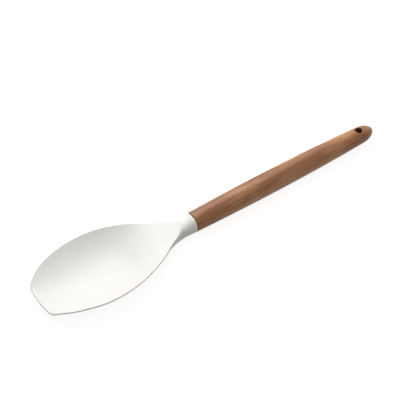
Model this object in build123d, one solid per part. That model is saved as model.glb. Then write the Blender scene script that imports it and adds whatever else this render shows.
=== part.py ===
from build123d import *
from math import cos, pi, sin, sqrt
import os

# A rice paddle: a silicone blade moulded over a stiff core, whose ribbed spigot is glued into a
# turned beech handle with a hanging hole. X runs from the blade's tip to the handle's end, Y runs
# across the blade and Z is up. The origin lies on the table, under the middle of the paddle.
# The blade and the handle's belly both touch the table. Lengths are in millimetres.

# Handle
handle_length = 188.0
joint_diameter = 17.0
belly_diameter = 19.0
belly_from_joint = 78.0
tail_diameter = 14.8
dome_length = 13.0
joint_chamfer = 0.4
hole_diameter = 6.0
hole_from_end = 15.0
hole_mouth_depth = 1.0

# Blade and neck, seen from above
head_length = 142.0
blade_width = 70.6
waist_width = 15.6
waist_from_joint = 11.0
tip_edge_width = 32.0
tip_edge_bulge = 1.6
tip_corner_radius = 8.0

# Blade and neck, seen from the side
rim_above_axis = 6.9
neck_top_above_axis = 4.9
waist_top_above_axis = 6.9
shoulder_rise = 0.6
tip_above_axis = 0.4
lip_height = 1.8
underside_centre_above_rim = 12.0
floor_thickness = 4.0
top_start = 4.0
tip_thickness = 2.2
foot_depth = 0.4

# Stiff core
skin_thickness = 1.0
core_edge_inset = 5.0
core_tip_inset = 7.0
spigot_diameter = 10.0
spigot_length = 32.0
groove_depth = 0.6
groove_width = 1.6
groove_count = 4

# Glue
glue_thickness = 0.2
glue_pocket = 2.0

# The turned surface's seam lies at the side, clear of the hanging hole
quarter_turn = 90

# How far a form that is cut off reaches past the cut
overrun = 8.0

axis_z = belly_diameter / 2
joint_x = (head_length - handle_length) / 2
handle_end_x = joint_x + handle_length
joint_radius = joint_diameter / 2
half_blade = blade_width / 2
rim_z = axis_z + rim_above_axis
tip_z = axis_z + tip_above_axis
bowl_depth = rim_z - floor_thickness
crown_z = rim_z + underside_centre_above_rim + overrun
cutter_height = crown_z + overrun

# Places are shares of the head's length, from the joint to the tip. The other number in a pair is
# a share of the named size that the curve follows.
outline_shares = (
    (0.205, 0.415),
    (0.29, 0.625),
    (0.39, 0.81),
    (0.50, 0.945),
    (0.65, 1.0),
    (0.80, 0.90),
    (0.91, 0.72),
)
rim_shares = ((0.32, 0.915), (0.46, 1.0), (0.70, 0.91), (0.87, 0.81), (0.945, 0.57))
depth_shares = (
    (0.10, 0),
    (0.17, 0),
    (0.23, 0.06),
    (0.35, 0.45),
    (0.47, 0.87),
    (0.60, 1.0),
    (0.72, 0.97),
    (0.87, 0.71),
    (0.95, 0.36),
)
neck_place_share = 0.20
neck_end_share = 0.26
plan_start_share = 0.12
quarter_round_share = 0.5523
keel_start_share = 0.20
keel_end_share = 0.68
section_shares = (
    0, 0.035, 0.078, 0.12, 0.16, 0.20, 0.25, 0.31, 0.39, 0.49, 0.60, 0.70, 0.79, 0.87, 0.93, 0.97, 1.005,
)
edge_share = 0.75
wall_power = 2.4
section_steps = 16
along_steps = 48
across_steps = 40


def smooth_curve(points):
    """The value at any place of a smooth curve through points with rising places."""
    places = [place for place, value in points]
    values = [value for place, value in points]
    chords = [
        (values[i + 1] - values[i]) / (places[i + 1] - places[i]) for i in range(len(points) - 1)
    ]
    inner = [
        (chords[i - 1] * (places[i + 1] - places[i]) + chords[i] * (places[i] - places[i - 1]))
        / (places[i + 1] - places[i - 1])
        for i in range(1, len(points) - 1)
    ]
    slopes = [chords[0]] + inner + [chords[-1]]

    def value_at(place):
        if place <= places[0]:
            return values[0] + slopes[0] * (place - places[0])
        if place >= places[-1]:
            return values[-1] + slopes[-1] * (place - places[-1])
        i = max(k for k in range(len(places) - 1) if places[k] <= place)
        span = places[i + 1] - places[i]
        t = (place - places[i]) / span
        start = values[i] * (1 - t) ** 2 * (1 + 2 * t) + slopes[i] * span * t * (1 - t) ** 2
        end = values[i + 1] * t**2 * (3 - 2 * t) - slopes[i + 1] * span * t**2 * (1 - t)
        return start + end

    return value_at


def ramp(place, start, stop):
    """A smooth step from 0 at start to 1 at stop."""
    t = min(max((place - start) / (stop - start), 0), 1)
    return t * t * (3 - 2 * t)


def along(place):
    """The X of a place that is measured from the joint towards the tip."""
    return joint_x - place


neck_place = neck_place_share * head_length
outline = smooth_curve(
    [(0, joint_radius), (waist_from_joint, waist_width / 2)]
    + [(place * head_length, width * half_blade) for place, width in outline_shares]
    + [(head_length, tip_edge_width / 2)]
)
rim = smooth_curve(
    [
        (waist_from_joint, axis_z + waist_top_above_axis + shoulder_rise),
        (neck_place, axis_z + neck_top_above_axis),
    ]
    + [(place * head_length, axis_z + height * rim_above_axis) for place, height in rim_shares]
    + [(head_length, tip_z)]
)
bowl_depth_at = smooth_curve(
    [(0, 0)]
    + [(place * head_length, depth * bowl_depth) for place, depth in depth_shares]
    + [(head_length, 0)]
)
crown = smooth_curve(
    [
        (0, axis_z + joint_radius),
        (waist_from_joint, axis_z + waist_top_above_axis),
        (neck_place, crown_z),
        (head_length, crown_z),
    ]
)


def keel(place):
    """The height of the underside above the table, on the centre line."""
    neck = (axis_z - joint_radius + foot_depth) * (1 - ramp(place, 0, keel_start_share * head_length))
    rise = max(place / head_length - keel_end_share, 0) / (1 - keel_end_share)
    return neck - foot_depth + (tip_z - tip_thickness + foot_depth) * rise**2


def section(place, inset):
    """The outline that a cut across the head has there, before the bowl is cut out of it."""
    blade_like = ramp(place, waist_from_joint, neck_end_share * head_length)
    centre_z = axis_z + (rim(place) + underside_centre_above_rim - axis_z) * blade_like
    depth = centre_z - keel(place)
    edge = min(lip_height, edge_share * (rim(place) - keel(place)))
    lip = (underside_centre_above_rim + edge) * blade_like
    half = outline(place) / sqrt(1 - (lip / depth) ** 2) - inset
    angles = [pi * k / section_steps for k in range(section_steps + 1)]
    under = [
        Vector(along(place), half * cos(a), centre_z - (depth - inset) * sin(a)) for a in angles
    ]
    over = [
        Vector(along(place), -half * cos(a), centre_z + (crown(place) - centre_z - inset) * sin(a))
        for a in angles
    ]
    down, up = Vector(0, 0, -1), Vector(0, 0, 1)
    return Wire([Spline(under, tangents=[down, up]), Spline(over, tangents=[up, down])])


def hull(inset):
    """The neck and blade as one closed form, with no bowl in it yet."""
    return Solid.make_loft([section(share * head_length, inset) for share in section_shares])


def top_height(place, y, inset):
    """The height of the head's upper face: the neck's flat top, the rim and the bowl."""
    wall = (abs(y) / (outline(place) + inset)) ** wall_power
    return rim(place) - bowl_depth_at(place) * (1 - wall) - inset


def above_top(inset):
    """Everything above the head's upper face, lowered and widened by inset."""
    reach = head_length - top_start
    rows = []
    for i in range(along_steps + 1):
        place = top_start + (reach + overrun) * i / along_steps
        half = outline(place) + lip_height
        ys = [half * (2 * j / across_steps - 1) for j in range(across_steps + 1)]
        rows.append([Vector(along(place), y, top_height(place, y, inset)) for y in ys])
    surface = Face.make_surface_from_array_of_points(rows)
    return Solid.extrude(surface, Vector(0, 0, cutter_height))


def plan(skin, edge_inset, tip_inset):
    """An upright prism on the blade's outline from above, drawn in at its foot, edge and tip."""
    start = plan_start_share * head_length
    shares = [share for share in section_shares if start <= share * head_length < head_length]
    tip = head_length - tip_edge_bulge - tip_inset
    places = [share * head_length for share in shares if share * head_length < tip] + [tip]
    side = [
        Vector(along(p), outline(p) - edge_inset * ramp(p, start, half_blade + start)) for p in places
    ]
    corner = side[-1]
    bulge = Vector(along(tip + tip_edge_bulge), 0)
    mirror = [Vector(v.X, -v.Y) for v in side]
    back = joint_x + overrun
    wide = half_blade + overrun
    around_neck = [(side[0].X, -wide), (back, -wide), (back, wide), (side[0].X, wide)]
    neck_line = Polyline(mirror[0], *around_neck, side[0])
    edges = [
        Spline(*side),
        ThreePointArc(corner, bulge, mirror[-1]),
        Spline(*mirror[::-1]),
        *neck_line.edges(),
    ]
    face = Face(Wire(edges))
    corners = [v for v in face.vertices() if abs(v.X - corner.X) < tip_edge_bulge]
    face = face.fillet_2d(tip_corner_radius, corners)
    return extrude(face, amount=rim_z + 2 * overrun).moved(Location((0, 0, skin)))


def head_form(skin, edge_inset, tip_inset):
    """The whole head, or with a skin and insets the core that lies inside it."""
    form = hull(skin) & plan(skin, edge_inset, tip_inset)
    return form - above_top(skin)


def spigot():
    """The ribbed spigot on the core, from the joint into the handle."""
    radius = spigot_diameter / 2
    body = Solid.make_cylinder(radius, spigot_length, Plane((joint_x, 0, axis_z), z_dir=(1, 0, 0)))
    body = body.chamfer(groove_depth, None, body.edges().sort_by(Axis.X)[-1:])
    pitch = spigot_length / (groove_count + 1)
    for k in range(1, groove_count + 1):
        middle = Plane((joint_x + k * pitch - groove_width / 2, 0, axis_z), z_dir=(1, 0, 0))
        ring = Solid.make_cylinder(radius + groove_depth, groove_width, middle)
        ring = ring - Solid.make_cylinder(radius - groove_depth, groove_width, middle)
        body = body - ring
    return body


def bore():
    """The blind bore that the glue and the spigot fill."""
    radius = spigot_diameter / 2 + glue_thickness
    depth = spigot_length + glue_pocket
    return Solid.make_cylinder(radius, depth, Plane((joint_x, 0, axis_z), z_dir=(1, 0, 0)))


def hanging_hole():
    """The upright hole near the handle's end, with a countersunk mouth above and below."""
    hole_x = handle_end_x - hole_from_end
    radius = hole_diameter / 2
    drill = Pos(hole_x, 0, axis_z) * Cylinder(radius, belly_diameter)
    mouth_z = axis_z + tail_diameter / 2 - hole_mouth_depth
    mouth_height = hole_mouth_depth + overrun
    mouth = Solid.make_cone(radius, radius + mouth_height, mouth_height, Plane((hole_x, 0, mouth_z)))
    return [drill, mouth, mouth.mirror(Plane.XY.offset(axis_z))]


def turned_handle():
    """The wooden handle: a turned barrel with a domed end, a bore and a hanging hole."""
    face_edge = Vector(joint_x, 0, axis_z + joint_radius - joint_chamfer)
    start = Vector(joint_x + joint_chamfer, 0, axis_z + joint_radius)
    belly = Vector(joint_x + belly_from_joint, 0, axis_z + belly_diameter / 2)
    tail = Vector(handle_end_x - dome_length, 0, axis_z + tail_diameter / 2)
    end = Vector(handle_end_x, 0, axis_z)
    joint_centre = Vector(joint_x, 0, axis_z)
    taper = TangentArc(belly, tail, tangent=(1, 0, 0))
    dome = Bezier(
        tail,
        tail + (taper % 1) * (dome_length * quarter_round_share),
        end + Vector(0, 0, tail_diameter / 2 * quarter_round_share),
        end,
    )
    outline_wire = Wire(
        [
            Line(joint_centre, face_edge),
            Line(face_edge, start),
            *TangentArc(belly, start, tangent=(-1, 0, 0)).edges(),
            *taper.edges(),
            *dome.edges(),
            Line(end, joint_centre),
        ]
    )
    centre_line = Axis((joint_x, 0, axis_z), (1, 0, 0))
    profile = Face(outline_wire).rotate(centre_line, quarter_turn)
    return revolve(profile, axis=centre_line) - hanging_hole() - bore()


def build():
    """Every separate piece by name."""
    core_blade = head_form(skin_thickness, core_edge_inset, core_tip_inset)
    core = core_blade + spigot()
    silicone = head_form(0, 0, 0) - core_blade
    return {
        "silicone_head": silicone,
        "stiff_core": core,
        "beech_handle": turned_handle(),
        "glue_bond": bore() - spigot(),
    }


os.makedirs("parts", exist_ok=True)
for name, piece in build().items():
    print(name, piece.is_valid, [round(s.volume, 1) for s in piece.solids()], piece.bounding_box())
    export_step(piece, f"parts/{name}.step")
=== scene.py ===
"""A rice paddle with a dished silicone blade and a turned beech handle, on a pale studio floor."""

from math import cos, pi, radians, sin, sqrt, tan

import bmesh
import bpy
import numpy as np
from bpy.props import FloatProperty, FloatVectorProperty, IntProperty, PointerProperty
from bpy.types import Operator, Panel, PropertyGroup
from mathutils import Matrix, Vector


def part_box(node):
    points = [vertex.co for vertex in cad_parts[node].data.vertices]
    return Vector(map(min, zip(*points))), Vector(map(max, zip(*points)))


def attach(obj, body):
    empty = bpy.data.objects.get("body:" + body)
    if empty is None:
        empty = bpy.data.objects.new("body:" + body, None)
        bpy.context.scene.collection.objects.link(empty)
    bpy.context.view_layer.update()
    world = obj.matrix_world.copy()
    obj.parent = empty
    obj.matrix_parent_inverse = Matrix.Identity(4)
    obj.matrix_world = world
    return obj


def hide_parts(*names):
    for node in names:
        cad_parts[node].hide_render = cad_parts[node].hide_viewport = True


bl_info = {
    "name": "Rice Paddle",
    "version": (1, 0, 0),
    "blender": (4, 5, 0),
    "location": "3D View > Sidebar > Paddle",
    "description": "Makes a rice paddle's silicone head, beech handle and glued joint, and a studio",
    "category": "Object",
}

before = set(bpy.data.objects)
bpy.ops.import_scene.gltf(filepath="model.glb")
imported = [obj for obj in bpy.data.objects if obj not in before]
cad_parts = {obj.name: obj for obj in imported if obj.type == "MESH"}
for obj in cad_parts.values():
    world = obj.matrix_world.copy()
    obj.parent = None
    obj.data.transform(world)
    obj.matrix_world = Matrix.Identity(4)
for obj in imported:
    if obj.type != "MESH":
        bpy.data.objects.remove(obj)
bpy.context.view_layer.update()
head_low, head_high = (Vector(corner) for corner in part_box("silicone_head"))
wood_low, wood_high = (Vector(corner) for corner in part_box("beech_handle"))
glue_low, glue_high = (Vector(corner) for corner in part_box("glue_bond"))

BODY = "root"
JOINT_X = wood_low.x
AXIS_Z = (wood_low.z + wood_high.z) / 2

# The points of the head's curves. A place is a share of the head's length, from the joint to the
# tip, and the other number is a share of the size that the curve follows.
OUTLINE_SHARES = (
    (0.205, 0.415),
    (0.29, 0.625),
    (0.39, 0.81),
    (0.50, 0.945),
    (0.65, 1.0),
    (0.80, 0.90),
    (0.91, 0.72),
)
RIM_SHARES = ((0.32, 0.915), (0.46, 1.0), (0.70, 0.91), (0.87, 0.81), (0.945, 0.57))
DEPTH_SHARES = (
    (0.10, 0),
    (0.17, 0),
    (0.23, 0.06),
    (0.35, 0.45),
    (0.47, 0.87),
    (0.60, 1.0),
    (0.72, 0.97),
    (0.87, 0.71),
    (0.95, 0.36),
)

# Shares of the head's length: where the neck's top has its given height, where the neck has become
# the blade, and where the underside comes down to its foot and where it leaves it
NECK_PLACE_SHARE = 0.20
NECK_END_SHARE = 0.26
KEEL_START_SHARE = 0.20
KEEL_END_SHARE = 0.68

# The most that the rim's outer side takes of the head's thickness, the power that shapes the bowl's
# wall, and the reach of the handle's dome curve that makes it a quarter round
EDGE_SHARE = 0.75
WALL_POWER = 2.4
QUARTER_ROUND_SHARE = 0.5523

# How finely the meshes are divided
HEAD_STATIONS = 150
CORNER_STATIONS = 14
HEAD_COLUMNS = 112
JOINT_RINGS = 8
TURN_COLUMNS = 128
BARREL_ROWS = 90
DOME_ROWS = 26
DOME_SAMPLES = 4000
BORE_ROWS = 3
EDGE_ROWS = 6
HOLE_CELLS = 28
HOLE_RINGS = 7

# Half the width of the square patch of mesh round the hole, as a share of the hole's diameter
HOLE_PATCH_SHARE = 0.92

# The angle past which an edge is shaded sharp, a length too small to matter, and a unit
SHARP_ANGLE = radians(50)
TINY = 1e-9
MM_PER_METRE = 1000

# The wood's growth rings, whose direction is across and up, and how far the darkened wood reaches in from
# the joint's end and from the hole's wall, in metres: darker end grain and painted shade at the joint,
# painted shade in the hole
RING_GAP = 0.0034
RING_SWAY = 0.006
RING_DIRECTION = (0.42, 0.91)
DARK_WOOD_REACH = 0.0009

# The patterns' sizes along X, Y and Z, in millimetres
WOOD_SWAY = (60, 9, 9)
WOOD_FIBRE = (26, 0.45, 0.45)
WOOD_STREAK = (48, 1.7, 1.7)
WOOD_CLOUD = (38, 14, 14)
WOOD_PORE = (2.4, 0.42, 0.42)
WOOD_FLECK = (4.2, 1.5, 1.5)
SILICONE_CLOUD = (22, 22, 22)
SILICONE_GRAIN = (0.35, 0.35, 0.35)
SILICONE_DUST = (3, 3, 3)
NYLON_FIBRE = (1.6, 0.25, 0.25)
NYLON_FLOW = (18, 6, 6)
GLUE_BUBBLE = (0.8, 0.8, 0.8)
GLUE_CLOUD = (5, 5, 5)

# The depths of the surfaces' relief, in millimetres
SILICONE_RELIEF = 0.012
WOOD_RELIEF = 0.06
NYLON_RELIEF = 0.03
GLUE_RELIEF = 0.05

# How strongly the wood's patterns and the painted shade show, from 0 to 1
CLOUD_STRENGTH = 0.50
RING_STRENGTH = 0.18
PORE_STRENGTH = 0.55
FLECK_STRENGTH = 0.80
# Darker end grain at the joint's end, with painted shade of the gap at the collar
END_GRAIN_AND_SHADE_STRENGTH = 0.90
# Painted shade inside the hanging hole
HOLE_SHADE_STRENGTH = 0.85

# The linear colour of the bubbles in the glue
BUBBLE_COLOUR = (0.9, 0.85, 0.7, 1.0)

# The studio's sizes and places, in metres
FLOOR_REACH = 4.0
FLOOR_Z = -0.0001
KEY_PLACE = (0.20, 0.70, 0.90)
KEY_WIDTH = 0.70
FILL_PLACE = (-0.55, -0.45, 1.20)
FILL_WIDTH = 0.80
CLIP_START = 0.01
CLIP_END = 50.0

# The studio's linear colours, and how strongly the floor is lifted to white
PAPER_GREY = (0.32, 0.32, 0.32, 1.0)
WHITE = (1.0, 1.0, 1.0, 1.0)
WARM_AIR = (1.0, 0.965, 0.90, 1.0)
FLOOR_LIFT = 0.87


def size(name, description, default):
    """A length in metres that a user can change."""
    return FloatProperty(name=name, description=description, default=default, unit="LENGTH", precision=4)


def colour(name, description, default):
    """A colour as it is written in sRGB, from 0 to 1."""
    return FloatVectorProperty(
        name=name, description=description, default=default, subtype="COLOR_GAMMA", size=3, min=0, max=1
    )


class PaddleHeadSizes(PropertyGroup):
    """The sizes of the silicone blade and neck."""

    length: size("Length", "From the joint to the tip", head_high.x - head_low.x)
    blade_width: size("Blade width", "Across the blade's widest part", head_high.y - head_low.y)
    joint_diameter: size("Joint diameter", "Of the round collar at the handle", 0.017)
    waist_width: size("Waist width", "Across the neck behind the collar", 0.0156)
    waist_from_joint: size("Waist from joint", "Where the neck is narrowest", 0.011)
    tip_edge_width: size("Tip edge width", "Along the straight tip, between its corners", 0.032)
    tip_edge_bulge: size("Tip edge bulge", "How far the tip's edge bows out", 0.0016)
    tip_corner_radius: size("Tip corner radius", "Of the two corners at the tip", 0.008)
    lip_height: size("Lip height", "Of the rim's outer side", 0.0018)
    underside_centre: size("Underside centre", "Height of the underside's arc centre over the rim", 0.012)
    rim_above_axis: size("Rim above axis", "Height of the rim over the handle's centre line", 0.0069)
    neck_top_above_axis: size("Neck above axis", "Height of the neck's flat top", 0.0049)
    waist_top_above_axis: size("Waist above axis", "Height of the round waist's top", 0.0069)
    crown_above_rim: size("Crown over rim", "Of the round form, before its flat top is cut", 0.020)
    crease_round: size("Crease round", "How softly the neck's round side meets its flat top", 0.003)
    shoulder_rise: size("Shoulder rise", "Of the flat top's start over the waist", 0.0006)
    tip_above_axis: size("Tip above axis", "Height of the tip's edge", 0.0004)
    floor_height: size("Floor height", "Of the bowl's lowest point over the table", 0.004)
    tip_thickness: size("Tip thickness", "Of the blade at its tip", 0.0022)
    foot_depth: size("Foot depth", "How much of the underside the flat foot takes off", 0.0004)
    collar_round: size("Collar round", "Radius of the collar's edge at the joint", 0.0007)


class PaddleHandleSizes(PropertyGroup):
    """The sizes of the turned handle."""

    belly_diameter: size("Belly diameter", "Of the handle's thickest part", wood_high.z - wood_low.z)
    belly_from_joint: size("Belly from joint", "Where the handle is thickest", 0.078)
    joint_diameter: size("Joint diameter", "Of the handle at the collar", 0.017)
    tail_diameter: size("Tail diameter", "Where the domed end starts", 0.0148)
    dome_length: size("Dome length", "Of the domed end", 0.013)
    joint_chamfer: size("Joint chamfer", "Of the handle's edge at the collar", 0.0004)
    hole_diameter: size("Hole diameter", "Of the hanging hole", 0.006)
    hole_from_end: size("Hole from end", "From the hole's centre to the handle's end", 0.015)
    hole_round: size("Hole round", "Radius of the hole's sanded mouths", 0.0009)


class PaddleJointSizes(PropertyGroup):
    """The sizes of the glue between the spigot and its bore."""

    bore_diameter: size("Bore diameter", "Of the blind bore in the handle", glue_high.z - glue_low.z)
    bore_depth: size("Bore depth", "From the joint", glue_high.x - glue_low.x)
    film: size("Glue film", "Between the spigot and the bore", 0.0002)
    spigot_length: size("Spigot length", "From the joint", 0.032)
    rib_width: size("Rib width", "Of each ring of glue", 0.0016)
    rib_height: size("Rib height", "How deep a ring of glue keys into the spigot", 0.0006)
    rib_count: IntProperty(name="Ribs", description="Rings of glue along the spigot", default=4, min=1)


class PaddleFinishes(PropertyGroup):
    """The colours of the paddle's materials."""

    silicone: colour("Silicone", "The moulded blade and neck", (0.943, 0.942, 0.936))
    wood_light: colour("Light wood", "Pale stretches between the grain lines", (0.810, 0.610, 0.435))
    wood_mid: colour("Wood", "The wood's main colour", (0.660, 0.450, 0.290))
    wood_dark: colour("Dark wood", "Grain lines and flecks", (0.500, 0.320, 0.200))
    # Also the dark of the end grain, and the painted shade at the joint's end and in the hanging hole
    pore_and_shade: colour("Pores", "Open pores in the wood", (0.260, 0.150, 0.100))
    nylon: colour("Core", "The stiff core inside the silicone", (0.740, 0.730, 0.690))
    epoxy: colour("Glue", "The cured glue in the joint", (0.800, 0.700, 0.480))


class PaddleStudio(PropertyGroup):
    """The camera, the lamps and the even light."""

    camera_turn: FloatProperty(
        name="Camera turn", description="Round the paddle, from straight across the handle",
        default=radians(35.122), subtype="ANGLE",
    )
    camera_tilt: FloatProperty(
        name="Camera tilt", description="How steeply the camera looks down", default=radians(47.0),
        subtype="ANGLE",
    )
    camera_distance: size("Camera distance", "From the camera to what it looks at", 1.05)
    camera_lens: FloatProperty(name="Lens", description="Focal length in mm", default=115.717)
    target_x: size("Target X", "What the camera looks at, along the paddle", -0.003588)
    target_y: size("Target Y", "What the camera looks at, across the paddle", 0.016562)
    key_power: FloatProperty(
        name="Key power", description="Of the lamp behind the paddle", default=10.4, subtype="POWER"
    )
    fill_power: FloatProperty(
        name="Fill power", description="Of the lamp above the camera", default=1.0, subtype="POWER"
    )
    ambient: FloatProperty(
        name="Ambient", description="Strength of the even light", default=0.42, min=0
    )


def ramp(place, start, stop):
    """A smooth step from 0 at start to 1 at stop."""
    t = np.clip((place - start) / (stop - start), 0, 1)
    return t * t * (3 - 2 * t)


class SmoothCurve:
    """A smooth curve through points with rising places, straight beyond its ends."""

    def __init__(self, points):
        self.places = np.array([place for place, value in points], dtype=float)
        self.values = np.array([value for place, value in points], dtype=float)
        steps = np.diff(self.places)
        chords = np.diff(self.values) / steps
        inner = (chords[:-1] * steps[1:] + chords[1:] * steps[:-1]) / (steps[1:] + steps[:-1])
        self.slopes = np.concatenate([chords[:1], inner, chords[-1:]])

    def __call__(self, place):
        within = np.clip(place, self.places[0], self.places[-1])
        last = len(self.places) - 2
        i = np.clip(np.searchsorted(self.places, within, side="right") - 1, 0, last)
        span = self.places[i + 1] - self.places[i]
        t = (within - self.places[i]) / span
        start = self.values[i] * (1 - t) ** 2 * (1 + 2 * t) + self.slopes[i] * span * t * (1 - t) ** 2
        end = self.values[i + 1] * t**2 * (3 - 2 * t) - self.slopes[i + 1] * span * t**2 * (1 - t)
        before = np.minimum(place - self.places[0], 0) * self.slopes[0]
        beyond = np.maximum(place - self.places[-1], 0) * self.slopes[-1]
        return start + end + before + beyond


def mesh_object(name, points, faces):
    """A smooth-shaded object from points and faces, with every face turned outwards."""
    mesh = bpy.data.meshes.new(name)
    mesh.from_pydata([tuple(point) for point in points], [], faces)
    work = bmesh.new()
    work.from_mesh(mesh)
    bmesh.ops.recalc_face_normals(work, faces=work.faces)
    work.to_mesh(mesh)
    work.free()
    mesh.polygons.foreach_set("use_smooth", [True] * len(mesh.polygons))
    mesh.set_sharp_from_angle(angle=SHARP_ANGLE)
    piece = bpy.data.objects.new(name, mesh)
    bpy.context.scene.collection.objects.link(piece)
    return piece


def round_profile(distance, radius):
    """How far a quarter round has risen at a distance from its edge, from 0 to 1."""
    inside = np.clip(1 - distance / np.maximum(radius, TINY), 0, 1)
    return np.sqrt(1 - inside**2)


class HeadForm:
    """The silicone head's curves, and the heights of its upper face and its underside."""

    def __init__(self, sizes):
        self.sizes = sizes
        length = sizes.length
        self.neck_end = NECK_END_SHARE * length
        rim = sizes.rim_above_axis
        self.outline = SmoothCurve(
            [(0, sizes.joint_diameter / 2), (sizes.waist_from_joint, sizes.waist_width / 2)]
            + [(place * length, width * sizes.blade_width / 2) for place, width in OUTLINE_SHARES]
            + [(length, sizes.tip_edge_width / 2)]
        )
        waist_top = AXIS_Z + sizes.waist_top_above_axis
        self.ridge = SmoothCurve(
            [
                (sizes.waist_from_joint, waist_top + sizes.shoulder_rise),
                (NECK_PLACE_SHARE * length, AXIS_Z + sizes.neck_top_above_axis),
            ]
            + [(place * length, AXIS_Z + height * rim) for place, height in RIM_SHARES]
            + [(length, AXIS_Z + sizes.tip_above_axis)]
        )
        high = AXIS_Z + rim + sizes.crown_above_rim
        self.crown = SmoothCurve(
            [
                (0, AXIS_Z + sizes.joint_diameter / 2),
                (sizes.waist_from_joint, waist_top),
                (NECK_PLACE_SHARE * length, high),
                (length, high),
            ]
        )
        bowl_depth = AXIS_Z + rim - sizes.floor_height
        self.dish = SmoothCurve(
            [(0, 0)]
            + [(place * length, depth * bowl_depth) for place, depth in DEPTH_SHARES]
            + [(length, 0)]
        )

    def blade_like(self, place):
        """0 along the round neck, 1 along the blade."""
        return ramp(place, self.sizes.waist_from_joint, self.neck_end)

    def keel(self, place):
        """The underside's height on the centre line."""
        sizes = self.sizes
        neck = AXIS_Z - sizes.joint_diameter / 2 + sizes.foot_depth
        neck = neck * (1 - ramp(place, 0, KEEL_START_SHARE * sizes.length))
        rise = np.maximum(place / sizes.length - KEEL_END_SHARE, 0) / (1 - KEEL_END_SHARE)
        tip = AXIS_Z + sizes.tip_above_axis - sizes.tip_thickness
        return neck - sizes.foot_depth + (tip + sizes.foot_depth) * rise**2

    def edge_height(self, place):
        """How tall the rim's outer side is."""
        return np.minimum(self.sizes.lip_height, EDGE_SHARE * (self.ridge(place) - self.keel(place)))

    def arc(self, place):
        """The middle height, depth and half width of the round section of which the head is a slice."""
        blade = self.blade_like(place)
        rise = self.sizes.underside_centre
        centre = AXIS_Z + (self.ridge(place) + rise - AXIS_Z) * blade
        depth = centre - self.keel(place)
        lip = (rise + self.edge_height(place)) * blade
        return centre, depth, self.outline(place) / np.sqrt(1 - (lip / depth) ** 2)

    def upper(self, place, across):
        """The height of the round neck, and of its flat top, the rim and the bowl that are cut from it."""
        wall = (np.abs(across) / self.outline(place)) ** WALL_POWER
        cut = self.ridge(place) - self.dish(place) * (1 - wall)
        centre, depth, half = self.arc(place)
        dome = centre + (self.crown(place) - centre) * np.sqrt(np.maximum(1 - (across / half) ** 2, 0))
        soft = self.sizes.crease_round
        share = np.clip((dome - cut) / soft, -1, 1) / 2 + 1 / 2
        return dome * (1 - share) + cut * share - soft * share * (1 - share)

    def under(self, place, across):
        """The height of the round underside, before its foot is made flat."""
        centre, depth, half = self.arc(place)
        return centre - depth * np.sqrt(np.maximum(1 - (across / half) ** 2, 0))

    def corner(self):
        """The ends and the control point of the curve that rounds the corner of the tip."""
        sizes = self.sizes
        place = sizes.length - sizes.tip_edge_bulge
        wide = float(self.outline(place))
        slope = (wide - float(self.outline(place - sizes.tip_edge_bulge))) / sizes.tip_edge_bulge
        side = Vector((1, slope)).normalized()
        tip = Vector((2 * sizes.tip_edge_bulge / wide, -1)).normalized()
        reach = sizes.tip_corner_radius * tan(side.angle(tip) / 2)
        start = place - reach * side.x
        end = wide + reach * tip.y
        bulge = sizes.tip_edge_bulge * (end / wide) ** 2
        return (start, float(self.outline(start))), (place, wide), (sizes.length - bulge, end)

    def plan(self):
        """The head seen from above: the side's points to the corner's middle, that middle, and the tip's."""
        start, knee, end = (np.array(point) for point in self.corner())
        places = np.linspace(self.sizes.collar_round, start[0], HEAD_STATIONS)
        side = np.stack([places, self.outline(places)], axis=1)
        t = np.sin(np.linspace(0, pi / 2, CORNER_STATIONS + 1))[1:, None] / 2
        bend = start * (1 - t) ** 2 + knee * 2 * t * (1 - t) + end * t**2
        middle = bend[-1]
        t = np.linspace(1 / 2, 1, CORNER_STATIONS)[:, None]
        rest = start * (1 - t) ** 2 + knee * 2 * t * (1 - t) + end * t**2
        wide = np.linspace(end[1], 0, CORNER_STATIONS)[1:]
        straight = self.sizes.length - self.sizes.tip_edge_bulge * (wide / knee[1]) ** 2
        tip = np.concatenate([rest, np.stack([straight, wide], axis=1)])
        return np.concatenate([side, bend]), middle, tip


def distance_to_line(places, across, line):
    """The least distance from points to a line through points, all seen from above."""
    start, end = line[:-1], line[1:]
    run = end - start
    point = np.stack([places, across], axis=-1)[..., None, :]
    share = ((point - start) * run).sum(-1) / np.maximum((run**2).sum(-1), TINY**2)
    nearest = start + run * np.clip(share, 0, 1)[..., None]
    return np.sqrt(((point - nearest) ** 2).sum(-1)).min(-1)


def head_grids(form):
    """A grid over the head, row by row from the joint: places along and across, and both heights."""
    side, middle, tip = form.plan()
    columns = np.sin(np.linspace(-pi / 2, pi / 2, HEAD_COLUMNS + 1))
    reach = form.sizes.length * (1 - KEEL_END_SHARE)
    pull = np.clip((side[:, 0] - middle[0] + reach) / reach, 0, 1)[:, None] ** 2
    tip_place = np.interp(np.abs(columns) * middle[1], tip[::-1, 1], tip[::-1, 0])
    places = side[:, 0][:, None] + pull * (tip_place - middle[0])
    across = side[:, 1][:, None] * columns
    tip_edge = np.stack([tip_place, np.abs(columns) * middle[1]], axis=1)[HEAD_COLUMNS // 2 :]
    border = np.concatenate([[[0, side[0, 1]]], side, tip_edge[::-1]])
    distance = distance_to_line(places, np.abs(across), border)
    distance[:, 0] = distance[:, -1] = distance[-1] = 0
    blade = form.blade_like(places)
    edge_round = form.edge_height(places) / 2 * blade
    seam = form.under(places, form.outline(places)) + edge_round
    over = seam + (form.upper(places, across) - seam) * round_profile(distance, edge_round)
    below = seam - (seam - form.under(places, across)) * round_profile(distance, edge_round)
    return places, across, over, np.maximum(below, 0)


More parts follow.
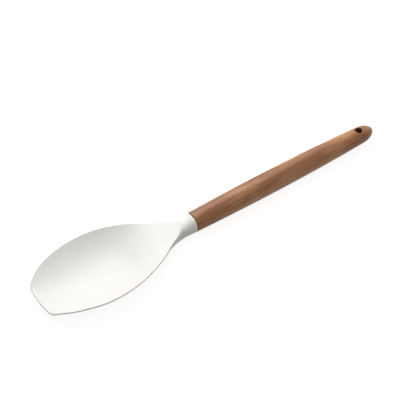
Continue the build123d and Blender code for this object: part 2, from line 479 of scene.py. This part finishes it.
def head_mesh(form):
    """The points and faces of the closed silicone head."""
    places, across, over, below = head_grids(form)
    rows, columns = places.shape
    over_points = np.stack([JOINT_X - places, across, over], axis=-1)
    below_points = np.stack([JOINT_X - places, across, below], axis=-1)[:-1, 1:-1]
    points = over_points.reshape(-1, 3).tolist()
    base = len(points)
    points += below_points.reshape(-1, 3).tolist()

    def top(i, j):
        return i * columns + j

    def bottom(i, j):
        if i == rows - 1 or j in (0, columns - 1):
            return top(i, j)
        return base + i * (columns - 2) + j - 1

    faces = []
    for i in range(rows - 1):
        for j in range(columns - 1):
            faces.append((top(i, j), top(i, j + 1), top(i + 1, j + 1), top(i + 1, j)))
            faces.append((bottom(i, j), bottom(i + 1, j), bottom(i + 1, j + 1), bottom(i, j + 1)))
    ring = [top(0, j) for j in range(columns)] + [bottom(0, j) for j in range(columns - 2, 0, -1)]
    collar = form.sizes.collar_round
    outer = [Vector(points[k]) for k in ring]
    for k in range(1, JOINT_RINGS + 1):
        turn = k / JOINT_RINGS * pi / 2
        shrink = 1 - collar * (1 - cos(turn)) / (form.sizes.joint_diameter / 2)
        x = JOINT_X - collar * (1 - sin(turn))
        new = [len(points) + n for n in range(len(ring))]
        points += [(x, p.y * shrink, AXIS_Z + (p.z - AXIS_Z) * shrink) for p in outer]
        faces += [(ring[n - 1], ring[n], new[n], new[n - 1]) for n in range(len(ring))]
        ring = new
    points.append((JOINT_X, 0, AXIS_Z))
    faces += [(ring[n - 1], ring[n], len(points) - 1) for n in range(len(ring))]
    return points, faces


def bow(run, drop):
    """The radius of the circle that leaves the belly level and has dropped that far after a run."""
    return (run**2 + drop**2) / (2 * drop)


class HandleForm:
    """The turned handle's profile."""

    def __init__(self, sizes, joint):
        self.sizes = sizes
        self.joint = joint
        self.end = wood_high.x
        self.belly = sizes.belly_diameter / 2
        self.belly_x = JOINT_X + sizes.belly_from_joint
        self.start_x = JOINT_X + sizes.joint_chamfer
        self.tail_x = self.end - sizes.dome_length
        self.hole_x = self.end - sizes.hole_from_end
        tail = sizes.tail_diameter / 2
        run = self.tail_x - self.belly_x
        self.front_bow = bow(self.belly_x - self.start_x, self.belly - sizes.joint_diameter / 2)
        self.back_bow = bow(run, self.belly - tail)
        lean = Vector((sqrt(self.back_bow**2 - run**2), -run)).normalized()
        knee = Vector((self.tail_x, tail)) + lean * sizes.dome_length * QUARTER_ROUND_SHARE
        t = np.linspace(0, 1, DOME_SAMPLES)
        self.dome_x = cubic(t, self.tail_x, knee.x, self.end, self.end)
        self.dome_radius = cubic(t, tail, knee.y, tail * QUARTER_ROUND_SHARE, 0)

    def radius(self, x):
        """The handle's radius at any place along it."""
        arc = np.where(x < self.belly_x, self.front_bow, self.back_bow)
        barrel = self.belly - arc + np.sqrt(np.maximum(arc**2 - (x - self.belly_x) ** 2, 0))
        return np.where(x < self.tail_x, barrel, np.interp(x, self.dome_x, self.dome_radius))

    def skin(self):
        """The skin's rows as pairs of X and radius, and the first row of the hole's patch."""
        patch = self.sizes.hole_diameter * HOLE_PATCH_SHARE
        barrel = np.linspace(self.start_x, self.hole_x - patch, BARREL_ROWS)
        square = np.linspace(self.hole_x - patch, self.hole_x + patch, HOLE_CELLS + 1)[1:]
        rest = self.end - self.hole_x - patch
        tip = self.end - rest * (1 - np.sin(np.linspace(0, pi / 2, DOME_ROWS + 1)[1:-1]))
        xs = np.concatenate([barrel, square, tip])
        return list(zip(xs.tolist(), self.radius(xs).tolist())), BARREL_ROWS - 1

    def mouth(self):
        """The rows from the bore's blind end, out along its wall and round the joint's edge."""
        sizes = self.sizes
        depth = self.joint.bore_depth
        bore = self.joint.bore_diameter / 2
        wall = [(JOINT_X + depth * (1 - k / BORE_ROWS), bore) for k in range(BORE_ROWS + 1)]
        turns = [k / EDGE_ROWS * pi / 2 for k in range(EDGE_ROWS)]
        chamfer, outer = sizes.joint_chamfer, sizes.joint_diameter / 2
        edge = [(JOINT_X + chamfer * (1 - cos(a)), outer - chamfer * (1 - sin(a))) for a in turns]
        return wall + edge


def cubic(t, a, b, c, d):
    """A Bezier curve's coordinate from those of its four points."""
    return a * (1 - t) ** 3 + 3 * b * t * (1 - t) ** 2 + 3 * c * t**2 * (1 - t) + d * t**3


def bridge(faces, first, second):
    """Adds the faces between two closed rings of points."""
    faces += [(first[n - 1], first[n], second[n], second[n - 1]) for n in range(len(first))]


def hole_border():
    """The rows and columns of the square patch round the hole, as steps from its middle, in order."""
    half = HOLE_CELLS // 2
    steps = range(-half, half)
    border = [(-half, k) for k in steps] + [(k, half) for k in steps]
    return border + [(half, -k) for k in steps] + [(-k, -half) for k in steps]


def hole_rings(form, points, faces, ring, side):
    """Carries the patch's border in to the hole and round its mouth, on the upper or lower side."""
    sizes = form.sizes
    hole = sizes.hole_diameter / 2
    border = [Vector(points[k]) for k in ring]
    turns = [Vector((p.x - form.hole_x, p.y)).normalized() for p in border]
    steps = [(k / HOLE_RINGS, 0) for k in range(1, HOLE_RINGS + 1)]
    steps += [(1, k / EDGE_ROWS * pi / 2) for k in range(1, EDGE_ROWS + 1)]
    for share, turn in steps:
        reach = hole + sizes.hole_round * (1 - sin(turn))
        drop = sizes.hole_round * (1 - cos(turn))
        new = []
        for p, unit in zip(border, turns):
            x = (p.x - form.hole_x) * (1 - share) + unit.x * reach * share + form.hole_x
            y = p.y * (1 - share) + unit.y * reach * share
            height = sqrt(float(form.radius(x)) ** 2 - y**2) - drop
            new.append(len(points))
            points.append((x, y, AXIS_Z + side * height))
        bridge(faces, ring, new)
        ring = new
    return ring


def handle_mesh(form):
    """The points and faces of the closed handle, with its blind bore and its hanging hole."""
    skin, first = form.skin()
    rows = form.mouth()
    first += len(rows)
    rows += skin
    points, faces = [], []
    turns = [2 * pi * j / TURN_COLUMNS for j in range(TURN_COLUMNS)]
    for x, radius in rows:
        points += [(x, radius * sin(a), AXIS_Z + radius * cos(a)) for a in turns]

    def at(row, column):
        return row * TURN_COLUMNS + column % TURN_COLUMNS

    half, under = HOLE_CELLS // 2, TURN_COLUMNS // 2
    cells = set(range(-half, half))
    for i in range(len(rows) - 1):
        for j in range(TURN_COLUMNS):
            over_hole = (j + half) % TURN_COLUMNS - half in cells or j - under in cells
            if first <= i < first + HOLE_CELLS and over_hole:
                continue
            faces.append((at(i, j), at(i, j + 1), at(i + 1, j + 1), at(i + 1, j)))
    middle = first + half
    upper = hole_rings(form, points, faces, [at(middle + i, j) for i, j in hole_border()], 1)
    under_border = [at(middle + i, under - j) for i, j in hole_border()]
    lower = hole_rings(form, points, faces, under_border, -1)
    ring = upper
    for k in range(1, HOLE_RINGS):
        new = []
        for top, bottom in zip(upper, lower):
            new.append(len(points))
            points.append(Vector(points[top]).lerp(Vector(points[bottom]), k / HOLE_RINGS))
        bridge(faces, ring, new)
        ring = new
    bridge(faces, ring, lower)
    for row, x in ((0, rows[0][0]), (len(rows) - 1, form.end)):
        points.append((x, 0, AXIS_Z))
        faces += [(at(row, j), at(row, j + 1), len(points) - 1) for j in range(TURN_COLUMNS)]
    used = sorted({k for face in faces for k in face})
    place = {k: n for n, k in enumerate(used)}
    return [points[k] for k in used], [tuple(place[k] for k in face) for face in faces]


class Wire:
    """An output of a tree's node, which Python's arithmetic works on."""

    def __init__(self, maker, socket):
        self.maker, self.socket = maker, socket

    def math(self, operation, *values):
        """A Math node's result."""
        inputs = dict(enumerate(values))
        return self.maker.node("ShaderNodeMath", {"operation": operation}, inputs)["Value"]

    def __add__(self, other):
        return self.math("ADD", self, other)

    __radd__ = __add__

    def __sub__(self, other):
        return self.math("SUBTRACT", self, other)

    def __rsub__(self, other):
        return self.math("SUBTRACT", other, self)

    def __mul__(self, other):
        return self.math("MULTIPLY", self, other)

    __rmul__ = __mul__

    def __truediv__(self, other):
        return self.math("DIVIDE", self, other)

    def __pow__(self, other):
        return self.math("POWER", self, other)

    def between(self, low, high):
        """0 below low, 1 above high and smooth between them."""
        settings = {"interpolation_type": "SMOOTHSTEP"}
        inputs = {"Value": self, "From Min": low, "From Max": high}
        return self.maker.node("ShaderNodeMapRange", settings, inputs)["Result"]


class NodeMaker:
    """A tree of nodes, and the one way in which they are made."""

    def __init__(self, tree):
        self.tree = tree

    def node(self, kind, settings, inputs):
        """Makes a node, with its settings first, and returns its outputs by name."""
        node = self.tree.nodes.new(kind)
        for key, value in settings.items():
            setattr(node, key, value)
        for key, value in inputs.items():
            socket = node.inputs[key] if isinstance(key, int) else self.input_of(node, key)
            if isinstance(value, Wire):
                self.tree.links.new(value.socket, socket)
            else:
                socket.default_value = value
        outputs = {}
        for output in node.outputs:
            if output.enabled:
                outputs[output.name] = Wire(self, output)
        return outputs

    @staticmethod
    def input_of(node, key):
        """The input in use that has that name."""
        return next(s for s in node.inputs if s.name == key and s.enabled)


class Finish(NodeMaker):
    """The nodes of a material or of the world."""

    def __init__(self, owner):
        owner.use_nodes = True
        super().__init__(owner.node_tree)
        self.owner = owner
        self.tree.nodes.clear()

    def coordinates(self):
        """The place on the piece, in metres."""
        return self.node("ShaderNodeTexCoord", {}, {})["Object"]

    def stretched(self, places, sizes_mm):
        """The place, with a pattern's sizes along X, Y and Z as the units."""
        scale = [MM_PER_METRE / size_mm for size_mm in sizes_mm]
        return self.node("ShaderNodeVectorMath", {"operation": "MULTIPLY"}, {0: places, 1: scale})["Vector"]

    def level(self, parts):
        """The place with its height left out."""
        return self.node("ShaderNodeCombineXYZ", {}, {"X": parts["X"], "Y": parts["Y"]})["Vector"]

    def distance(self, places, centre):
        """How far the place is from a point."""
        inputs = {0: places, 1: centre}
        return self.node("ShaderNodeVectorMath", {"operation": "DISTANCE"}, inputs)["Value"]

    def noise(self, places, detail=3.0, roughness=0.55):
        """A cloudy pattern, one blotch to a unit of the place."""
        inputs = {"Vector": places, "Scale": 1.0, "Detail": detail, "Roughness": roughness}
        return self.node("ShaderNodeTexNoise", {}, inputs)["Fac"]

    def cells(self, places):
        """A cell pattern's distance from its centres, and one number for each cell."""
        out = self.node("ShaderNodeTexVoronoi", {}, {"Vector": places, "Scale": 1.0})
        parts = self.node("ShaderNodeSeparateColor", {}, {"Color": out["Color"]})
        return out["Distance"], parts["Red"]

    def blend(self, factor, first, second):
        """A colour between two colours."""
        inputs = {"Factor": factor, "A": first, "B": second}
        return self.node("ShaderNodeMix", {"data_type": "RGBA"}, inputs)["Result"]

    def bump(self, height, depth_mm):
        """The surface's direction over a height from 0 to 1."""
        inputs = {"Height": height, "Distance": depth_mm / MM_PER_METRE, "Strength": 1.0}
        return self.node("ShaderNodeBump", {}, inputs)["Normal"]

    def surface(self, **inputs):
        """Ends the material in a shader with those inputs."""
        named = {key.replace("_", " "): value for key, value in inputs.items()}
        shader = self.node("ShaderNodeBsdfPrincipled", {}, named)["BSDF"]
        self.node("ShaderNodeOutputMaterial", {}, {"Surface": shader})
        return self.owner


def linear(written):
    """A colour written in sRGB, with an alpha of 1, in the renderer's linear light."""
    steps = [c / 12.92 if c <= 0.04045 else ((c + 0.055) / 1.055) ** 2.4 for c in written]
    return (*steps, 1.0)


def tinted(base, *shares):
    """A linear colour with its red, green and blue scaled, and no brighter than white."""
    return (*[min(c * share, 1.0) for c, share in zip(base, shares)], 1.0)


def silicone_finish(colours):
    """Smooth white silicone with the faint grain of its mould."""
    finish = Finish(bpy.data.materials.new("white_silicone"))
    places = finish.coordinates()
    cloud = finish.noise(finish.stretched(places, SILICONE_CLOUD), detail=2.0)
    grain = finish.noise(finish.stretched(places, SILICONE_GRAIN), detail=2.0)
    dust = finish.noise(finish.stretched(places, SILICONE_DUST), detail=4.0, roughness=0.7)
    base = linear(colours.silicone)
    warm = tinted(base, 0.99, 0.985, 0.97)
    return finish.surface(
        Base_Color=finish.blend(cloud.between(0.35, 0.7), base, warm),
        Roughness=0.40 + 0.10 * dust + 0.05 * cloud,
        IOR=1.41,
        Normal=finish.bump(grain + 0.4 * dust, SILICONE_RELIEF),
    )


def wood_finish(colours, sizes):
    """Oiled beech: growth rings, long fibres, short dark pores and ray flecks, all along X, with darker end
    grain and painted shade at the joint's end and painted shade in the hanging hole.
    """
    finish = Finish(bpy.data.materials.new("oiled_beech"))
    hole_centre = (wood_high.x - sizes.hole_from_end, 0, 0)
    hole_edge = sizes.hole_diameter / 2
    places = finish.coordinates()
    sway = finish.noise(finish.stretched(places, WOOD_SWAY), detail=2.0)
    parts = finish.node("ShaderNodeSeparateXYZ", {}, {"Vector": places})
    across, up = RING_DIRECTION
    ring_place = parts["Y"] * across + parts["Z"] * up + RING_SWAY * sway
    wave = ring_place * (2 * pi / RING_GAP)
    rings = wave.math("SINE", wave) * 0.5 + 0.5
    fibre = finish.noise(finish.stretched(places, WOOD_FIBRE), detail=4.0, roughness=0.6)
    streak = finish.noise(finish.stretched(places, WOOD_STREAK), detail=3.0)
    cloud = finish.noise(finish.stretched(places, WOOD_CLOUD), detail=2.0)
    pore_gap, pore_pick = finish.cells(finish.stretched(places, WOOD_PORE))
    pores = (1 - pore_gap.between(0.16, 0.34)) * pore_pick.between(0.45, 0.55)
    fleck_gap, fleck_pick = finish.cells(finish.stretched(places, WOOD_FLECK))
    flecks = (1 - fleck_gap.between(0.14, 0.26)) * fleck_pick.between(0.80, 0.84)
    tone = 0.45 * streak + 0.30 * fibre + 0.25 * cloud
    light, dark, pore_and_shade = linear(colours.wood_light), linear(colours.wood_dark), linear(colours.pore_and_shade)
    base = finish.blend(tone.between(0.32, 0.64), dark, linear(colours.wood_mid))
    base = finish.blend(cloud.between(0.38, 0.66) * CLOUD_STRENGTH, base, light)
    base = finish.blend(rings**3 * RING_STRENGTH, base, dark)
    base = finish.blend(pores * PORE_STRENGTH, base, pore_and_shade)
    base = finish.blend(flecks * FLECK_STRENGTH, base, pore_and_shade)
    # Darker oiled end grain at the joint's end, darkened further as painted shade of the gap between collar
    # and handle
    end_grain_and_shade = 1 - parts["X"].between(JOINT_X, JOINT_X + DARK_WOOD_REACH)
    # Painted shade: the wood inside the hanging hole and round its mouth is darkened towards the pore colour
    from_hole = finish.distance(finish.level(parts), hole_centre)
    painted_hole_shade = 1 - from_hole.between(hole_edge, hole_edge + DARK_WOOD_REACH)
    # The end grain with its painted shade, and the painted shade in the hole, blend towards the dark pore
    # colour
    base = finish.blend(end_grain_and_shade * END_GRAIN_AND_SHADE_STRENGTH, base, pore_and_shade)
    base = finish.blend(painted_hole_shade * HOLE_SHADE_STRENGTH, base, pore_and_shade)
    return finish.surface(
        Base_Color=base,
        Roughness=0.38 + 0.16 * fibre + 0.15 * pores,
        IOR=1.45,
        Normal=finish.bump(fibre * 0.6 - pores * 0.7 - flecks, WOOD_RELIEF),
    )


def nylon_finish(colours):
    """Glass-filled nylon: a matte moulded plastic with fine pale fibres."""
    finish = Finish(bpy.data.materials.new("filled_nylon"))
    places = finish.coordinates()
    gap, pick = finish.cells(finish.stretched(places, NYLON_FIBRE))
    fibres = (1 - gap.between(0.10, 0.30)) * pick.between(0.4, 0.6)
    flow = finish.noise(finish.stretched(places, NYLON_FLOW), detail=3.0)
    base = linear(colours.nylon)
    pale = tinted(base, 1.25, 1.25, 1.25)
    shade = tinted(base, 0.8, 0.8, 0.78)
    colour_here = finish.blend(flow.between(0.3, 0.7), shade, base)
    return finish.surface(
        Base_Color=finish.blend(fibres * 0.5, colour_here, pale),
        Roughness=0.60 + 0.15 * flow,
        Normal=finish.bump(fibres * 0.5 + flow, NYLON_RELIEF),
    )


def epoxy_finish(colours):
    """Cured amber glue with small bubbles."""
    finish = Finish(bpy.data.materials.new("cured_epoxy"))
    places = finish.coordinates()
    gap, pick = finish.cells(finish.stretched(places, GLUE_BUBBLE))
    bubbles = (1 - gap.between(0.12, 0.22)) * pick.between(0.6, 0.7)
    cloud = finish.noise(finish.stretched(places, GLUE_CLOUD), detail=3.0)
    base = linear(colours.epoxy)
    deep = tinted(base, 0.75, 0.65, 0.5)
    colour_here = finish.blend(cloud, deep, base)
    return finish.surface(
        Base_Color=finish.blend(bubbles * 0.6, colour_here, BUBBLE_COLOUR),
        Roughness=0.18 + 0.2 * bubbles + 0.1 * cloud,
        Normal=finish.bump(bubbles * -1.0, GLUE_RELIEF),
    )


class GlueTree(NodeMaker):
    """The node tree that makes the glue's sleeve, its rings in the spigot's grooves and its plug."""

    def __init__(self):
        super().__init__(bpy.data.node_groups.new("glue_rings", "GeometryNodeTree"))
        self.tree.is_modifier = True
        self.sockets = {}

    def socket(self, name, kind):
        """Adds a named input to the tree."""
        item = self.tree.interface.new_socket(name=name, in_out="INPUT", socket_type=kind)
        self.sockets[name] = item.identifier

    def ring(self, outer, wall, width):
        """A square-edged ring round X with that outer radius, its left face at X 0."""
        circle = {"Resolution": TURN_COLUMNS, "Radius": outer - wall * 0.5}
        square = {"Width": wall, "Height": width}
        path = self.node("GeometryNodeCurvePrimitiveCircle", {}, circle)["Curve"]
        profile = self.node("GeometryNodeCurvePrimitiveQuadrilateral", {}, square)["Curve"]
        curves = {"Curve": path, "Profile Curve": profile}
        swept = self.node("GeometryNodeCurveToMesh", {}, curves)["Mesh"]
        return self.along_x(swept, width * 0.5)

    def along_x(self, geometry, middle):
        """Turns what stands upright to lie along X, with its middle at that X."""
        shift = self.node("ShaderNodeCombineXYZ", {}, {"X": middle})["Vector"]
        inputs = {"Geometry": geometry, "Rotation": (0, pi / 2, 0), "Translation": shift}
        return self.node("GeometryNodeTransform", {}, inputs)["Geometry"]

    def ring_row(self, ring, length, width, ribs):
        """The ring, repeated with even gaps along the spigot."""
        pitch = length / (ribs + 1)
        start = self.node("ShaderNodeCombineXYZ", {}, {"X": pitch - width * 0.5})["Vector"]
        offset = self.node("ShaderNodeCombineXYZ", {}, {"X": pitch})["Vector"]
        row = {"Count": ribs, "Start Location": start, "Offset": offset}
        line = self.node("GeometryNodeMeshLine", {}, row)["Mesh"]
        inputs = {"Points": line, "Instance": ring}
        return self.node("GeometryNodeInstanceOnPoints", {}, inputs)["Instances"]

    def plug(self, bore, depth, length):
        """The glue that fills the bore beyond the spigot's end."""
        plug_depth = depth - length
        inputs = {"Vertices": TURN_COLUMNS, "Radius": bore, "Depth": plug_depth}
        plug = self.node("GeometryNodeMeshCylinder", {"fill_type": "TRIANGLE_FAN"}, inputs)["Mesh"]
        return self.along_x(plug, length + plug_depth * 0.5)

    def join(self, *parts):
        """One geometry made of several, which all go into the node's one socket."""
        node = self.tree.nodes.new("GeometryNodeJoinGeometry")
        for part in parts:
            self.tree.links.new(part.socket, node.inputs["Geometry"])
        return Wire(self, node.outputs["Geometry"])

    def build(self, material):
        """Makes the whole tree and returns it."""
        for name in ("Bore Radius", "Bore Depth", "Film", "Spigot Length", "Rib Width", "Rib Height"):
            self.socket(name, "NodeSocketFloat")
        self.socket("Ribs", "NodeSocketInt")
        self.tree.interface.new_socket("Geometry", in_out="OUTPUT", socket_type="NodeSocketGeometry")
        source = self.node("NodeGroupInput", {}, {})
        bore, depth, film, length, width, height, ribs = (source[name] for name in self.sockets)
        sleeve = self.ring(bore, film, length + film)
        rib = self.ring(bore - film * 0.5, height, width)
        rings = self.ring_row(rib, length, width, ribs)
        plug = self.plug(bore, depth, length)
        seat = {"Geometry": self.join(sleeve, rings, plug), "Translation": (JOINT_X, 0, AXIS_Z)}
        place = self.node("GeometryNodeTransform", {}, seat)["Geometry"]
        real = self.node("GeometryNodeRealizeInstances", {}, {"Geometry": place})["Geometry"]
        dressed = self.node("GeometryNodeSetMaterial", {}, {"Geometry": real, "Material": material})
        self.node("NodeGroupOutput", {}, {"Geometry": dressed["Geometry"]})
        return self.tree


def add_piece(piece, material, node):
    """Gives a piece its material, and lets it stand for a node of the frame."""
    piece.data.materials.clear()
    piece.data.materials.append(material)
    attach(piece, BODY)
    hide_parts(node)


class PADDLE_OT_silicone_head(Operator):
    """Make the silicone blade, neck and collar"""

    bl_idname = "paddle.silicone_head"
    bl_label = "Silicone Head"

    def execute(self, context):
        scene = context.scene
        piece = mesh_object("moulded_blade", *head_mesh(HeadForm(scene.paddle_head)))
        add_piece(piece, silicone_finish(scene.paddle_finishes), "silicone_head")
        return {"FINISHED"}


class PADDLE_OT_beech_handle(Operator):
    """Make the turned handle with its bore and its hanging hole"""

    bl_idname = "paddle.beech_handle"
    bl_label = "Beech Handle"

    def execute(self, context):
        scene = context.scene
        form = HandleForm(scene.paddle_handle, scene.paddle_joint)
        piece = mesh_object("turned_handle", *handle_mesh(form))
        add_piece(piece, wood_finish(scene.paddle_finishes, scene.paddle_handle), "beech_handle")
        return {"FINISHED"}


class PADDLE_OT_glued_joint(Operator):
    """Make the glue round and beyond the spigot, and finish the core"""

    bl_idname = "paddle.glued_joint"
    bl_label = "Glued Joint"

    def execute(self, context):
        scene = context.scene
        sizes = scene.paddle_joint
        material = epoxy_finish(scene.paddle_finishes)
        tree = GlueTree()
        group = tree.build(material)
        maker = bpy.data.objects.new("glue_maker", bpy.data.meshes.new("glue_maker"))
        scene.collection.objects.link(maker)
        modifier = maker.modifiers.new("rings", "NODES")
        modifier.node_group = group
        values = {
            "Bore Radius": sizes.bore_diameter / 2,
            "Bore Depth": sizes.bore_depth,
            "Film": sizes.film,
            "Spigot Length": sizes.spigot_length,
            "Rib Width": sizes.rib_width,
            "Rib Height": sizes.rib_height,
            "Ribs": sizes.rib_count,
        }
        for name, value in values.items():
            modifier[tree.sockets[name]] = value
        context.view_layer.update()
        made = maker.evaluated_get(context.evaluated_depsgraph_get())
        mesh = bpy.data.meshes.new_from_object(made)
        mesh.name = "glue_sleeve"
        piece = bpy.data.objects.new("glue_sleeve", mesh)
        scene.collection.objects.link(piece)
        bpy.data.objects.remove(maker)
        add_piece(piece, material, "glue_bond")
        nylon = nylon_finish(scene.paddle_finishes)
        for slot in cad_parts["stiff_core"].material_slots:
            slot.material = nylon
        return {"FINISHED"}


class PADDLE_OT_studio(Operator):
    """Make the floor, the lamps, the even light and the camera"""

    bl_idname = "paddle.studio"
    bl_label = "Studio"

    def execute(self, context):
        scene = context.scene
        studio = scene.paddle_studio
        make_floor()
        make_world(scene, studio)
        for lamp in lamps(studio):
            make_lamp(scene, *lamp)
        make_camera(scene, studio)
        scene.view_settings.view_transform = "Standard"
        return {"FINISHED"}


def seen_directly(finish):
    """1 for the camera's rays and what it sees by reflection or through glass, 0 for light."""
    path = finish.node("ShaderNodeLightPath", {}, {})
    seen = path["Is Camera Ray"].math("MAXIMUM", path["Is Camera Ray"], path["Is Glossy Ray"])
    return seen.math("MAXIMUM", seen, path["Is Transmission Ray"])


def make_floor():
    """A pale paper floor, whose colour is lifted to white where no shadow lies."""
    reach = FLOOR_REACH
    corners = [(x * reach, y * reach, FLOOR_Z) for x, y in ((-1, -1), (1, -1), (1, 1), (-1, 1))]
    floor = mesh_object("studio_floor", corners, [(0, 1, 2, 3)])
    finish = Finish(bpy.data.materials.new("pale_paper"))
    paper = finish.node("ShaderNodeBsdfDiffuse", {}, {"Color": PAPER_GREY})["BSDF"]
    glow = {"Color": WHITE, "Strength": FLOOR_LIFT * seen_directly(finish)}
    lift = finish.node("ShaderNodeEmission", {}, glow)
    both = finish.node("ShaderNodeAddShader", {}, {0: paper, 1: lift["Emission"]})["Shader"]
    finish.node("ShaderNodeOutputMaterial", {}, {"Surface": both})
    floor.data.materials.append(finish.owner)


def make_world(scene, studio):
    """Even, slightly warm light from all round, which the camera sees as white."""
    scene.world = bpy.data.worlds.new("studio_air")
    air = Finish(scene.world)
    seen = seen_directly(air)
    strength = seen + (1 - seen) * studio.ambient
    tint = air.blend(seen, WARM_AIR, WHITE)
    light = air.node("ShaderNodeBackground", {}, {"Color": tint, "Strength": strength})
    air.node("ShaderNodeOutputWorld", {}, {"Surface": light["Background"]})


def lamps(studio):
    """Each lamp's name, place, width in metres and power."""
    return (
        ("key_lamp", KEY_PLACE, KEY_WIDTH, studio.key_power),
        ("fill_lamp", FILL_PLACE, FILL_WIDTH, studio.fill_power),
    )


def make_lamp(scene, name, place, width, power):
    """A square soft lamp that looks at the paddle's middle."""
    light = bpy.data.lights.new(name, "AREA")
    light.shape, light.size, light.energy = "SQUARE", width, power
    lamp = bpy.data.objects.new(name, light)
    lamp.matrix_world = looking(Vector(place), Vector((0, 0, AXIS_Z)))
    scene.collection.objects.link(lamp)


def looking(place, target):
    """The matrix of a lamp or a camera at a place, level and turned to a target."""
    turn = (target - place).to_track_quat("-Z", "Y")
    return Matrix.Translation(place) @ turn.to_matrix().to_4x4()


def make_camera(scene, studio):
    """The camera at the photograph's viewing angle."""
    turn, tilt = studio.camera_turn, studio.camera_tilt
    look = Vector((sin(turn) * cos(tilt), cos(turn) * cos(tilt), -sin(tilt)))
    target = Vector((studio.target_x, studio.target_y, AXIS_Z))
    data = bpy.data.cameras.new("studio_camera")
    data.lens = studio.camera_lens
    data.clip_start, data.clip_end = CLIP_START, CLIP_END
    camera = bpy.data.objects.new("studio_camera", data)
    camera.matrix_world = looking(target - look * studio.camera_distance, target)
    scene.collection.objects.link(camera)
    scene.camera = camera


class PADDLE_PT_panel(Panel):
    """Lists the paddle's sizes and what makes it"""

    bl_label = "Rice Paddle"
    bl_space_type = "VIEW_3D"
    bl_region_type = "UI"
    bl_category = "Paddle"

    def draw(self, context):
        layout = self.layout
        for name, group in GROUPS.items():
            box = layout.box()
            if name in MAKERS:
                box.operator(MAKERS[name].bl_idname)
            for key in group.__annotations__:
                box.prop(getattr(context.scene, name), key)


GROUPS = {
    "paddle_head": PaddleHeadSizes,
    "paddle_handle": PaddleHandleSizes,
    "paddle_joint": PaddleJointSizes,
    "paddle_studio": PaddleStudio,
    "paddle_finishes": PaddleFinishes,
}
MAKERS = {
    "paddle_head": PADDLE_OT_silicone_head,
    "paddle_handle": PADDLE_OT_beech_handle,
    "paddle_joint": PADDLE_OT_glued_joint,
    "paddle_studio": PADDLE_OT_studio,
}
CLASSES = (*GROUPS.values(), *MAKERS.values(), PADDLE_PT_panel)


def register():
    for kind in CLASSES:
        bpy.utils.register_class(kind)
    for name, group in GROUPS.items():
        setattr(bpy.types.Scene, name, PointerProperty(type=group))


def unregister():
    for name in GROUPS:
        delattr(bpy.types.Scene, name)
    for kind in reversed(CLASSES):
        bpy.utils.unregister_class(kind)


def main():
    register()
    bpy.ops.paddle.silicone_head()
    bpy.ops.paddle.beech_handle()
    bpy.ops.paddle.glued_joint()
    bpy.ops.paddle.studio()


if __name__ == "__main__":
    main()
